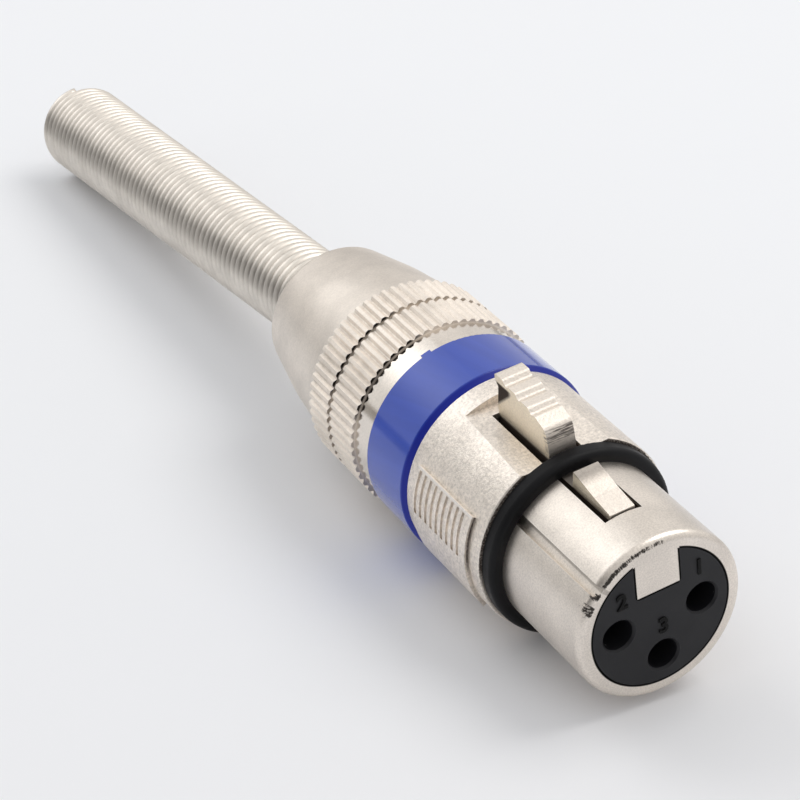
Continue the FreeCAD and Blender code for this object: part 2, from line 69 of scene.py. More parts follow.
class CastingSettings(bpy.types.PropertyGroup):
    """Colours and surface of the nickel-plated pieces."""
    nickel: bpy.props.FloatVectorProperty(
        name="Nickel", description="Colour of the plating", subtype="COLOR", size=3,
        min=0.0, max=1.0, default=(0.80, 0.737, 0.667))
    # Also the colour of painted shade: corners, forward steps, the slot and the keyway wall are
    # darkened towards it
    grime_and_shade: bpy.props.FloatVectorProperty(
        name="Grime", description="Colour of the dark residue in corners and steps",
        subtype="COLOR", size=3, min=0.0, max=1.0, default=(0.045, 0.03, 0.022))
    nose_grain: bpy.props.FloatProperty(
        name="Nose grain", description="Size of the blasted grain on the nose",
        subtype="DISTANCE", unit="LENGTH", precision=5, default=0.16 * MM, min=0.01 * MM)
    body_grain: bpy.props.FloatProperty(
        name="Body grain", description="Size of the coarser grain on the body",
        subtype="DISTANCE", unit="LENGTH", precision=5, default=0.30 * MM, min=0.01 * MM)
    thread_pitch: bpy.props.FloatProperty(
        name="Thread pitch", description="Pitch of the screw thread on the rear tube",
        subtype="DISTANCE", unit="LENGTH", precision=5, default=1.5 * MM, min=0.1 * MM)


class InsertSettings(bpy.types.PropertyGroup):
    """The black insert and its raised numerals."""
    colour: bpy.props.FloatVectorProperty(
        name="Insert", description="Colour of the black moulding", subtype="COLOR", size=3,
        min=0.0, max=1.0, default=(0.009, 0.009, 0.011))
    numeral: bpy.props.FloatVectorProperty(
        name="Numerals", description="Deeper black of the raised numerals", subtype="COLOR",
        size=3, min=0.0, max=1.0, default=(0.002, 0.002, 0.002))
    numeral_height: bpy.props.FloatProperty(
        name="Numeral height", description="Height of the raised numerals",
        subtype="DISTANCE", unit="LENGTH", precision=5, default=1.5 * MM, min=0.1 * MM)
    numeral_rise: bpy.props.FloatProperty(
        name="Numeral rise", description="How far the numerals stand out of the face",
        subtype="DISTANCE", unit="LENGTH", precision=5, default=0.1 * MM, min=0.0)


class RingSettings(bpy.types.PropertyGroup):
    """The coloured coding ring and the black sealing ring."""
    colour: bpy.props.FloatVectorProperty(
        name="Ring", description="Colour of the coding ring", subtype="COLOR", size=3,
        min=0.0, max=1.0, default=(0.031, 0.074, 0.43))
    # The lip's deeper blue is painted shade on the same moulding as the face
    lip: bpy.props.FloatVectorProperty(
        name="Ring lip", description="Deeper colour of the ring's front lip", subtype="COLOR",
        size=3, min=0.0, max=1.0, default=(0.004, 0.014, 0.27))
    seal: bpy.props.FloatVectorProperty(
        name="Sealing ring", description="Colour of the black ring", subtype="COLOR", size=3,
        min=0.0, max=1.0, default=(0.005, 0.005, 0.006))


class TailSettings(bpy.types.PropertyGroup):
    """The wound tail: one long piece of round wire."""
    wire: bpy.props.FloatProperty(
        name="Wire", description="Diameter of the wire, which is also the pitch of its turns",
        subtype="DISTANCE", unit="LENGTH", precision=6, default=1.135 * MM, min=0.1 * MM)
    head_turns: bpy.props.IntProperty(
        name="Head turns", description="Wide turns that hold the coil in the boot",
        default=3, min=1)
    turns: bpy.props.IntProperty(
        name="Turns", description="All turns from the head to the far end", default=68, min=4)
    bend_turn: bpy.props.FloatProperty(
        name="Bend turn", description="Turn at which the coil bends down", default=6.5, min=1.0)
    head_radius: bpy.props.FloatProperty(
        name="Head radius", description="Outer radius of the head", subtype="DISTANCE",
        unit="LENGTH", precision=5, default=5.4 * MM, min=1 * MM)
    start_radius: bpy.props.FloatProperty(
        name="Start radius", description="Outer radius where the coil leaves the boot",
        subtype="DISTANCE", unit="LENGTH", precision=5, default=4.6 * MM, min=1 * MM)
    end_radius: bpy.props.FloatProperty(
        name="End radius", description="Outer radius of the last turn", subtype="DISTANCE",
        unit="LENGTH", precision=5, default=5.25 * MM, min=1 * MM)
    droop: bpy.props.FloatProperty(
        name="Droop", description="How far the coil hangs from the body's axis",
        subtype="ANGLE", unit="ROTATION", default=math.radians(7.4))
    colour: bpy.props.FloatVectorProperty(
        name="Wire colour", description="Colour of the plated wire", subtype="COLOR", size=3,
        min=0.0, max=1.0, default=(0.74, 0.695, 0.635))


class StageSettings(bpy.types.PropertyGroup):
    """Floor, lamps and camera."""
    floor: bpy.props.FloatVectorProperty(
        name="Floor", description="Colour of the pale floor", subtype="COLOR", size=3,
        min=0.0, max=1.0, default=(0.90, 0.90, 0.915))
    lens: bpy.props.FloatProperty(
        name="Lens", description="Focal length of the camera on a 36 mm sensor",
        default=116.8, min=20.0)
    camera_place: bpy.props.FloatVectorProperty(
        name="Camera place", description="Where the camera stands", subtype="TRANSLATION",
        unit="LENGTH", precision=5, size=3, default=(-0.08410, -0.14122, 0.14018))
    camera_aim: bpy.props.FloatVectorProperty(
        name="Camera aim", description="Point at the middle of the picture",
        subtype="TRANSLATION", unit="LENGTH", precision=5, size=3,
        default=(-0.011565, 0.019943, 0.015998))
    camera_roll: bpy.props.FloatProperty(
        name="Camera roll", description="Turn of the camera about its view axis",
        subtype="ANGLE", unit="ROTATION", default=math.radians(8.25))


# Short ways to build shader trees

class Tree:
    """A shader node tree with short ways to add nodes and feed their sockets."""

    def __init__(self, tree):
        self.tree = tree

    def add(self, kind, feeds=None, **settings):
        """A new node; feeds maps a socket's name or number to a value or another socket."""
        node = self.tree.nodes.new("ShaderNode" + kind)
        for name, value in settings.items():
            setattr(node, name, value)
        for key, value in (feeds or {}).items():
            self.feed(node.inputs[key], value)
        return node

    def feed(self, socket, value):
        """Links a socket, or sets its value."""
        if isinstance(value, bpy.types.NodeSocket):
            self.tree.links.new(value, socket)
        elif isinstance(value, tuple) and socket.type == "RGBA" and len(value) == 3:
            socket.default_value = (*value, 1.0)
        else:
            socket.default_value = value

    def math(self, operation, *values, clamp=False):
        node = self.add("Math", dict(enumerate(values)), operation=operation, use_clamp=clamp)
        return node.outputs[0]

    def chain(self, operation, values):
        """One operation carried through all the values."""
        result = values[0]
        for value in values[1:]:
            result = self.math(operation, result, value)
        return result

    def product(self, *values):
        return self.chain("MULTIPLY", values)

    def total(self, *values):
        return self.chain("ADD", values)

    def most(self, *values):
        return self.chain("MAXIMUM", values)

    def weighted(self, base, *pairs):
        """A base value plus each value times its weight."""
        return self.total(base, *[self.product(value, weight) for value, weight in pairs])

    def remap(self, value, low, high, to_low=0.0, to_high=1.0, curve="SMOOTHSTEP"):
        """A value between low and high becomes one between to_low and to_high."""
        node = self.add("MapRange", {"Value": value, "From Min": low, "From Max": high,
                                     "To Min": to_low, "To Max": to_high},
                        interpolation_type=curve)
        return node.outputs["Result"]

    def fade(self, angle, low, high, to_low, to_high):
        """The same between two angles in degrees."""
        return self.remap(angle, math.radians(low), math.radians(high), to_low, to_high)

    def between(self, value, low, high, soft):
        """1 between two stations and 0 outside them, with soft ends."""
        rise = self.remap(value, low - soft, low + soft)
        fall = self.remap(value, high - soft, high + soft, 1.0, 0.0)
        return self.product(rise, fall)

    def sector(self, angle, low, high, soft):
        """The same between two angles in degrees."""
        return self.between(angle, math.radians(low), math.radians(high), math.radians(soft))

    def mix(self, share, first, second):
        """Two colours in one, by a share."""
        node = self.add("Mix", data_type="RGBA")
        self.feed(node.inputs[0], share)
        self.feed(node.inputs[6], first)
        self.feed(node.inputs[7], second)
        return node.outputs[2]

    def shaded(self, colour, factor):
        """A colour made lighter or darker by a factor."""
        return self.add("VectorMath", {0: colour, "Scale": factor}, operation="SCALE").outputs[0]

    def split(self, vector):
        """The three parts of a vector."""
        return self.add("SeparateXYZ", {0: vector}).outputs

    def noise(self, vector, scale, detail=2.0, roughness=0.5, distortion=0.0):
        node = self.add("TexNoise", {"Vector": vector, "Scale": scale, "Detail": detail,
                                     "Roughness": roughness, "Distortion": distortion})
        return node.outputs[0]

    def bump(self, height, distance, strength=1.0, under=None):
        feeds = {"Height": height, "Distance": distance, "Strength": strength}
        if under is not None:
            feeds["Normal"] = under
        return self.add("Bump", feeds).outputs[0]

    def group(self, group, **feeds):
        """The outputs of a node group in this tree, with its sockets fed by name."""
        node = self.tree.nodes.new("ShaderNodeGroup")
        node.node_tree = group
        for name, value in feeds.items():
            self.feed(node.inputs[name], value)
        return node.outputs


# Effects that the materials share as node groups

def shared_group(name, numbers, results, build):
    """A node group that is built once: a place and some numbers in, plain values out."""
    if name not in bpy.data.node_groups:
        group = bpy.data.node_groups.new(name, "ShaderNodeTree")
        group.interface.new_socket("Vector", in_out="INPUT", socket_type="NodeSocketVector")
        for label in numbers:
            group.interface.new_socket(label, in_out="INPUT", socket_type="NodeSocketFloat")
        for label in results:
            group.interface.new_socket(label, in_out="OUTPUT", socket_type="NodeSocketFloat")
        given = group.nodes.new("NodeGroupInput").outputs
        end = group.nodes.new("NodeGroupOutput")
        tree = Tree(group)
        for label, value in zip(results, build(tree, given)):
            tree.feed(end.inputs[label], value)
    return bpy.data.node_groups[name]


def build_grain(tree, given):
    """Two sizes of grain in one height, and a slow drift of tone."""
    scale = tree.math("DIVIDE", 1.0, given["Size"])
    coarse = tree.noise(given["Vector"], scale, 2.0, 0.6)
    fine = tree.noise(given["Vector"], tree.product(scale, 2.9), 2.0, 0.6)
    tone = tree.noise(given["Vector"], tree.product(scale, 0.06), 4.0, 0.6)
    return [tree.total(tree.product(coarse, 0.65), tree.product(fine, 0.35)), tone]


def build_edge_wear_and_highlight(tree, given):
    """A broken line where a bevel would turn the surface."""
    bevel = tree.add("Bevel", {"Radius": given["Width"]}, samples=6)
    plain = tree.add("NewGeometry").outputs["Normal"]
    dot = tree.add("VectorMath", {0: bevel.outputs[0], 1: plain}, operation="DOT_PRODUCT")
    edge = tree.remap(dot.outputs["Value"], 0.995, 0.90)
    breaks = tree.remap(tree.noise(given["Vector"], 1800.0, 3.0, 0.6), 0.32, 0.58)
    return [tree.math("MULTIPLY", tree.product(edge, breaks), given["Amount"], clamp=True)]


def build_corner_shade_and_dirt(tree, given):
    """Patches where the surroundings hide the surface."""
    shade = tree.add("AmbientOcclusion", {"Distance": given["Reach"]}, samples=8)
    corner = tree.remap(shade.outputs["AO"], 0.75, 0.25)
    patches = tree.remap(tree.noise(given["Vector"], 900.0, 4.0, 0.65), 0.30, 0.62, 0.35, 1.0)
    return [tree.math("MULTIPLY", tree.product(corner, patches), given["Amount"], clamp=True)]


def build_smudges(tree, given):
    """A slow change between clean and handled."""
    return [tree.remap(tree.noise(given["Vector"], 160.0, 5.0, 0.62, 0.4), 0.38, 0.66)]


def grain(tree, place, size):
    """The Height and the Tone of a fine blasted grain."""
    group = shared_group("Blasted grain", ("Size",), ("Height", "Tone"), build_grain)
    return tree.group(group, Vector=place, Size=size)


def edge_wear_and_highlight(tree, place, width, amount):
    """Bright edges: partly wear, partly a painted highlight."""
    group = shared_group("Edge wear and highlight", ("Width", "Amount"), ("Mask",), build_edge_wear_and_highlight)
    return tree.group(group, Vector=place, Width=width, Amount=amount)["Mask"]


def shade_and_dirt(tree, place, reach, amount):
    """A mask of corners, gaps and valleys, broken into patches: painted shade and residue where it
    darkens, dust where it lightens.
    """
    group = shared_group("Corner shade and dirt", ("Reach", "Amount"), ("Mask",), build_corner_shade_and_dirt)
    return tree.group(group, Vector=place, Reach=reach, Amount=amount)["Mask"]


def smudges(tree, place):
    """Faint handling marks, which change the gloss."""
    group = shared_group("Handling marks", (), ("Mask",), build_smudges)
    return tree.group(group, Vector=place)["Mask"]


# Materials

def empty_tree(owner):
    """The node tree of a material or a world, with nothing in it."""
    owner.use_nodes = True
    owner.node_tree.nodes.clear()
    return Tree(owner.node_tree)


def new_material(name):
    """A new material: its Tree, its Principled shader and its object coordinates."""
    material = bpy.data.materials.new(name)
    tree = empty_tree(material)
    shader = tree.add("BsdfPrincipled")
    tree.add("OutputMaterial", {0: shader.outputs[0]})
    place = tree.add("TexCoord").outputs["Object"]
    return material, tree, shader, place


def cylinder_place(tree, place):
    """Distance along the body, distance from its axis, and angle round it."""
    x, along, z = tree.split(place)
    squares = tree.total(tree.product(x, x), tree.product(z, z))
    return along, tree.math("SQRT", squares), tree.math("ARCTAN2", x, z)


def facing_front(tree, low=0.70, high=0.93):
    """1 on faces that look towards the mating end."""
    normal = tree.split(tree.add("NewGeometry").outputs["Normal"])
    return tree.remap(tree.product(normal[1], -1.0), low, high)


def finish_metal(tree, shader, look, colour, dark, wear_and_highlight, blackened=0.0):
    """Feeds a metal's colour: plating, painted shade and dark residue, bright edges that are partly
    wear and partly painted highlight, and places painted black as shade.
    """
    darkened = tree.mix(dark, colour, tuple(look.grime_and_shade))
    clean = tree.math("SUBTRACT", 1.0, dark, clamp=True)
    bright = tree.mix(tree.product(wear_and_highlight, 0.7, clean), darkened, (0.93, 0.90, 0.86))
    tree.feed(shader.inputs["Base Color"], tree.mix(blackened, bright, (0.002, 0.002, 0.002)))
    plated = tree.remap(dark, 0.2, 0.9, 1.0, 0.35)
    tree.feed(shader.inputs["Metallic"], tree.most(plated, blackened))


def face_dirt(tree, place, along, radius, angle):
    """Ragged residue on the rim of the mating face and at the keyway's mouth."""
    # This sum grows from the flat face over the rounded rim to the outside of the nose
    outward = tree.total(radius, along)
    strokes = tree.add("CombineXYZ", {0: tree.product(angle, 60.0), 1: tree.product(outward, 900.0)})
    ragged = tree.total(tree.noise(strokes.outputs[0], 1.0, 4.0, 0.7, 0.8),
                        tree.noise(place, 2600.0, 4.0, 0.7), -1.0)
    rim = tree.product(tree.between(outward, 7.36 * MM, 7.96 * MM, 0.22 * MM),
                       tree.fade(angle, -36, 8, 0.80, 0.60), tree.sector(angle, -44, 7, 2.0))
    low = tree.product(tree.sector(angle, -64, -55, 4.0),
                       tree.remap(along, 0.10 * MM, 1.7 * MM, 0.80, 0.0, "LINEAR"),
                       tree.remap(radius, 7.1 * MM, 7.4 * MM))
    mouth = tree.product(tree.sector(angle, -52, -46.5, 2.5),
                         tree.remap(along, 0.1 * MM, 1.1 * MM, 0.95, 0.0, "LINEAR"),
                         tree.remap(radius, 7.2 * MM, 7.5 * MM))
    where = tree.most(rim, low, mouth)
    spots = tree.remap(tree.weighted(where, (ragged, 1.3)), 0.46, 0.78, 0.0, 0.88)
    return tree.product(spots, tree.remap(where, 0.05, 0.25))


def insert_gap_shade(tree, place, radius):
    """Painted black shade round the insert and the tongue of the mating face, wider than the real
    clearance.
    """
    x, along, z = tree.split(place)
    aside = tree.math("ABSOLUTE", x)
    tongue = tree.product(tree.remap(aside, 2.2 * MM, 2.3 * MM, 1.0, 0.0),
                          tree.remap(z, 2.5 * MM, 2.7 * MM))
    round_gap = tree.product(tree.between(radius, 6.50 * MM, 6.80 * MM, 0.04 * MM),
                             tree.math("SUBTRACT", 1.0, tongue))
    side_gap = tree.remap(aside, 2.03 * MM, 2.10 * MM)
    foot_gap = tree.remap(z, 2.88 * MM, 2.95 * MM, 1.0, 0.0)
    inner = tree.remap(radius, 6.60 * MM, 6.70 * MM, 1.0, 0.0)
    tongue_gap = tree.product(tree.most(side_gap, foot_gap), inner)
    front = tree.remap(along, 1.0 * MM, 1.5 * MM, 1.0, 0.0)
    return tree.product(tree.most(round_gap, tongue_gap), front)


def slot_depth(tree, place, front_limit, rear_limit):
    """1 down in the lever's slot and the hook's window, where no light comes."""
    x, along, z = tree.split(place)
    limit = tree.remap(along, SHOULDER_Y - 0.2 * MM, SHOULDER_Y, front_limit, rear_limit)
    below = tree.remap(tree.math("SUBTRACT", limit, z), 0.0, 0.35 * MM)
    inside = tree.remap(tree.math("ABSOLUTE", x), 2.04 * MM, 2.10 * MM, 1.0, 0.0)
    length = tree.between(along, 4.4 * MM, 23.2 * MM, 0.1 * MM)
    return tree.product(below, inside, length, tree.remap(z, 2.5 * MM, 3.0 * MM))


def cast_nickel(look):
    """Blasted and plated casting: fine on the nose, coarser on the body, threaded behind."""
    material, tree, shader, place = new_material("cast_nickel")
    along, radius, angle = cylinder_place(tree, place)
    either_side = tree.math("ABSOLUTE", angle)
    nose = grain(tree, place, look.nose_grain)
    body = grain(tree, place, look.body_grain)
    on_body = tree.remap(along, SHOULDER_Y - 0.3 * MM, SHOULDER_Y + 0.1 * MM)
    height = tree.add("Mix", {0: on_body, 2: nose["Height"], 3: body["Height"]},
                      data_type="FLOAT").outputs[0]
    valleys = tree.remap(on_body, 0.0, 1.0, 0.86, 0.87, "LINEAR")
    crests = tree.remap(on_body, 0.0, 1.0, 1.08, 1.23)
    shade = tree.product(tree.remap(body["Tone"], 0.35, 0.65, 0.92, 1.05, "LINEAR"),
                         tree.remap(height, 0.36, 0.62, valleys, crests, "LINEAR"))
    # Darkening: steps that look forward (residue and a painted dark reflection), painted shade and
    # residue in corners, residue on the rim of the mating face, painted shade down the slot and on the
    # keyway's upper wall
    steps = tree.product(facing_front(tree), tree.between(along, 2.6 * MM, 16.2 * MM, 0.3 * MM),
                         tree.remap(nose["Height"], 0.30, 0.55, 0.45, 1.0),
                         tree.fade(either_side, 84, 98, 1.0, 0.25),
                         tree.remap(radius, 9.60 * MM, 9.74 * MM, 1.0, 0.35))
    corner = tree.product(shade_and_dirt(tree, place, 0.6 * MM, 0.45),
                          tree.remap(radius, 9.50 * MM, 9.64 * MM, 1.0, 0.2))
    face = face_dirt(tree, place, along, radius, angle)
    slot = slot_depth(tree, place, 7.75 * MM, 8.35 * MM)
    # Painted shade on the keyway's upper wall
    key_wall_shade = tree.product(tree.sector(angle, -45.6, -42.2, 0.5),
                            tree.remap(radius, 7.93 * MM, 8.0 * MM, 0.36, 0.0))
    dark = tree.most(steps, corner, face, slot, key_wall_shade)
    # Painted highlight along the top edges of the grip pads; other edges are partly worn, partly
    # painted highlight
    pad_edge_highlight = tree.product(tree.sector(either_side, 59.7, 61.2, 0.3),
                            tree.remap(radius, 9.64 * MM, 9.74 * MM))
    wear_and_highlight = tree.most(edge_wear_and_highlight(tree, place, 0.16 * MM, 0.8), pad_edge_highlight)
    # Painted black shade round the insert, with the darkest residue on the rim
    blackened = tree.most(insert_gap_shade(tree, place, radius), tree.product(face, 0.75))
    finish_metal(tree, shader, look, tree.shaded(tuple(look.nickel), shade), dark, wear_and_highlight, blackened)
    tree.feed(shader.inputs["Roughness"],
              tree.weighted(0.33, (smudges(tree, place), 0.06), (on_body, 0.06), (dark, 0.30)))
    # Screw thread on the rear tube
    wave = tree.total(tree.math("DIVIDE", along, look.thread_pitch),
                      tree.math("DIVIDE", angle, 2 * math.pi))
    thread = tree.product(tree.math("PINGPONG", wave, 0.5), 2.0,
                          tree.between(along, BODY_END_Y + 0.4 * MM, 40.5 * MM, 0.15 * MM),
                          tree.remap(radius, 8.3 * MM, 8.5 * MM))
    depth = tree.remap(on_body, 0.0, 1.0, 0.020 * MM, 0.060 * MM)
    tree.feed(shader.inputs["Normal"],
              tree.bump(height, depth, 0.9, tree.bump(thread, 0.55 * MM)))
    return material


def lever_nickel(look):
    """The latch lever: pale ridges with edges partly rubbed and partly painted highlight, cheeks
    painted a warmer, lighter colour as reflected light, a painted shadow under the rear lip, a
    scratched dark front.
    """
    material, tree, shader, place = new_material("lever_nickel")
    along, z = tree.split(place)[1:]
    normal = tree.split(tree.add("NewGeometry").outputs["Normal"])
    cheek = tree.remap(tree.math("ABSOLUTE", normal[0]), 0.75, 0.95)
    height = grain(tree, place, 0.22 * MM)["Height"]
    # Cheeks painted a warmer, lighter colour: painted reflected light on the same plating
    lit_cheek_colour = tree.mix(cheek, tuple(look.nickel), (0.98, 0.88, 0.72))
    plating = tree.shaded(lit_cheek_colour, tree.remap(height, 0.36, 0.62, 0.90, 1.05, "LINEAR"))
    # Painted shadow on the cheek under the rear lip, over a shallow undercut
    slant = tree.weighted(z, (tree.math("SUBTRACT", along, 19.5 * MM), 0.87))
    scoop_shadow = tree.product(tree.remap(slant, 11.85 * MM, 12.35 * MM),
                         tree.remap(along, 19.5 * MM, 20.3 * MM),
                         tree.remap(z, 12.05 * MM, 12.3 * MM, 1.0, 0.0), cheek)
    # Scratches across the front, over a brown lower part
    streaks = tree.add("VectorMath", {0: place, 1: (350.0, 350.0, 5200.0)}, operation="MULTIPLY")
    hatch = tree.product(tree.remap(tree.noise(streaks.outputs[0], 1.0, 3.0, 0.7), 0.44, 0.56),
                         tree.between(z, 10.0 * MM, 11.25 * MM, 0.2 * MM), 0.85)
    brown = tree.remap(z, 10.3 * MM, 9.2 * MM, 0.0, 0.5)
    front = tree.product(tree.most(hatch, brown), tree.remap(along, 14.7 * MM, 14.2 * MM),
                         tree.remap(z, 8.9 * MM, 9.3 * MM))
    # Painted shade and residue in corners, painted shade down the slot; edges partly worn, partly
    # painted highlight
    dark = tree.most(front, scoop_shadow, shade_and_dirt(tree, place, 0.8 * MM, 0.40),
                     slot_depth(tree, place, 7.85 * MM, 8.75 * MM))
    finish_metal(tree, shader, look, plating, dark, edge_wear_and_highlight(tree, place, 0.12 * MM, 0.35))
    tree.feed(shader.inputs["Roughness"],
              tree.weighted(0.46, (smudges(tree, place), 0.06), (cheek, 0.08), (dark, 0.25)))
    tree.feed(shader.inputs["Normal"], tree.bump(height, 0.055 * MM, 0.9))
    return material


def turned_nickel(look):
    """The boot: polished collar, crisp knurls with valleys darkened by painted shade and residue,
    satin cone.
    """
    material, tree, shader, place = new_material("turned_nickel")
    along, radius, angle = cylinder_place(tree, place)
    satin = grain(tree, place, 0.20 * MM)
    collar = tree.between(along, RING_END_Y, KNURL_FRONT_Y, 0.02 * MM)
    cone = tree.remap(along, KNURL_END_Y - 0.05 * MM, KNURL_END_Y + 0.05 * MM)
    bands = tree.most(tree.between(along, KNURL_FRONT_Y, KNURL_MIDDLE_Y, 0.02 * MM),
                      tree.between(along, KNURL_REAR_Y, KNURL_END_Y, 0.02 * MM))
    # Knurl valleys darkened a little: painted shade and residue
    valley = tree.product(tree.remap(radius, 9.76 * MM, 9.86 * MM, 1.0, 0.0), bands,
                          tree.remap(tree.noise(place, 700.0, 3.0, 0.6), 0.36, 0.6, 0.0, 0.12))
    # The front ends of the bands are darkened over a part of their round: a painted dark reflection,
    # with some residue
    darkened = tree.sector(angle, -66, -10, 8)
    front_end = tree.product(facing_front(tree, 0.6, 0.9),
                             tree.remap(along, KNURL_FRONT_Y - 0.1 * MM, KNURL_FRONT_Y),
                             tree.remap(darkened, 0.0, 1.0, 0.22, 0.97),
                             tree.remap(radius, 9.66 * MM, 9.78 * MM, 0.3, 1.0))
    # Painted shade and residue in corners
    dark = tree.most(valley, front_end, shade_and_dirt(tree, place, 0.35 * MM, 0.15))
    shade = tree.product(tree.remap(satin["Tone"], 0.35, 0.65, 0.93, 1.05, "LINEAR"),
                         tree.remap(satin["Height"], 0.36, 0.62, 0.93, 1.04, "LINEAR"),
                         tree.remap(cone, 0.0, 1.0, 1.0, 0.97),
                         tree.remap(bands, 0.0, 1.0, 1.0, 1.12))
    # The darkened front ends are also painted nearly black there, as a dark reflection
    finish_metal(tree, shader, look, tree.shaded(tuple(look.nickel), shade), dark,
                 edge_wear_and_highlight(tree, place, 0.10 * MM, 1.0), tree.product(front_end, darkened, 0.8))
    tree.feed(shader.inputs["Roughness"],
              tree.weighted(0.30, (smudges(tree, place), 0.06), (collar, -0.19), (bands, 0.24),
                            (cone, 0.12), (dark, 0.35)))
    # Fine rings left by the lathe, under a grain that nearly ends at the collar
    rings = tree.add("CombineXYZ", {0: tree.product(angle, 0.0004), 1: along})
    lathe = tree.bump(tree.noise(rings.outputs[0], 5200.0, 3.0, 0.6), 0.004 * MM, 0.8)
    height = tree.product(satin["Height"], tree.remap(collar, 0.0, 1.0, 1.0, 0.2))
    tree.feed(shader.inputs["Normal"], tree.bump(height, 0.013 * MM, 0.9, lathe))
    return material


def tail_reflection(tree, place, tail):
    """Painted reflection on the drooped coil: a darker band along one side and a painted highlight
    above it.
    """
    x, y, z = tree.split(place)
    past_bend = tree.math("SUBTRACT", y, RETAINER_END_Y + tail.bend_turn * tail.wire)
    above = tree.weighted(tree.product(z, math.cos(tail.droop)), (past_bend, math.sin(tail.droop)))
    angle = tree.math("ARCTAN2", x, above)
    return tree.product(tree.fade(angle, -58, -39, 0.74, 1.25), tree.fade(angle, -28, -14, 1.0, 0.84),
                        tree.fade(angle, -82, -62, 1.38, 1.0))


def plated_wire(tail):
    """Bright round wire with painted shade and residue between its turns."""
    material, tree, shader, place = new_material("plated_wire")
    drawn = grain(tree, place, 0.12 * MM)
    # Painted shade and residue between the turns
    corner = shade_and_dirt(tree, place, 0.40 * MM, 0.30)
    shade = tree.product(tree.remap(drawn["Tone"], 0.35, 0.65, 0.92, 1.05, "LINEAR"),
                         tail_reflection(tree, place, tail))
    plating = tree.shaded(tuple(tail.colour), shade)
    tree.feed(shader.inputs["Base Color"], tree.mix(corner, plating, (0.22, 0.19, 0.15)))
    shader.inputs["Metallic"].default_value = 1.0
    tree.feed(shader.inputs["Roughness"],
              tree.weighted(0.45, (smudges(tree, place), 0.06), (corner, 0.15)))
    tree.feed(shader.inputs["Normal"], tree.bump(drawn["Height"], 0.006 * MM, 0.8))
    return material


def black_moulding(name, colour, shine, mirror):
    """Satin black plastic with a faint moulded texture and pale dust in its corners."""
    material, tree, shader, place = new_material(name)
    light = tuple(min(1.0, c * 4 + 0.02) for c in colour)
    # Edges painted lighter: partly wear, partly a painted highlight
    base = tree.mix(edge_wear_and_highlight(tree, place, 0.10 * MM, 0.6), tuple(colour), light)
    dusted = tree.mix(shade_and_dirt(tree, place, 0.5 * MM, 0.25), base, (0.07, 0.065, 0.06))
    motes = tree.remap(tree.noise(place, 1500.0, 1.0, 0.5), 0.78, 0.83)
    tree.feed(shader.inputs["Base Color"], tree.mix(motes, dusted, (0.22, 0.21, 0.20)))
    tree.feed(shader.inputs["Roughness"], tree.weighted(shine, (smudges(tree, place), 0.12)))
    shader.inputs["Specular IOR Level"].default_value = mirror
    height = grain(tree, place, 0.10 * MM)["Height"]
    tree.feed(shader.inputs["Normal"], tree.bump(height, 0.010 * MM, 0.8))
    return material


def coding_plastic(rings):
    """Glossy blue moulding: front lip painted a deeper blue as shade, violet-blue face, a few rubbed
    streaks.
    """
    material, tree, shader, place = new_material("coding_plastic")
    along, angle = cylinder_place(tree, place)[::2]
    lip = tree.remap(along, BODY_END_Y + 0.45 * MM, BODY_END_Y + 0.8 * MM, 1.0, 0.0)
    slant = tree.total(tree.product(angle, 3.2), tree.product(along, 90.0))
    streak = tree.noise(tree.add("CombineXYZ", {0: slant, 1: 0.3}).outputs[0], 2.4, 2.0, 0.5)
    cloud = tree.noise(place, 260.0, 3.0, 0.55)
    uneven = tree.total(tree.product(streak, 0.7), tree.product(cloud, 0.3))
    face = tree.shaded(tuple(rings.colour), tree.remap(uneven, 0.35, 0.65, 0.95, 1.05))
    # The lip's deeper blue is painted shade on the same moulding
    base = tree.mix(lip, face, tuple(rings.lip))
    # Lighter edges, partly rubbed and partly a painted highlight; painted shade and residue in corners
    rubbed = tree.mix(edge_wear_and_highlight(tree, place, 0.12 * MM, 0.5), base, (0.14, 0.18, 0.60))
    shaded_and_soiled = tree.mix(shade_and_dirt(tree, place, 0.4 * MM, 0.5), rubbed, (0.01, 0.01, 0.04))
    tree.feed(shader.inputs["Base Color"], shaded_and_soiled)
    tree.feed(shader.inputs["Roughness"],
              tree.weighted(tree.remap(lip, 0.0, 1.0, 0.11, 0.38), (smudges(tree, place), 0.08)))
    shader.inputs["Specular IOR Level"].default_value = 0.28
    tree.feed(shader.inputs["Coat Weight"], tree.remap(lip, 0.0, 1.0, 0.6, 0.0))
    shader.inputs["Coat Roughness"].default_value = 0.06
    tree.feed(shader.inputs["Normal"], tree.bump(cloud, 0.02 * MM, 0.35))
    return material


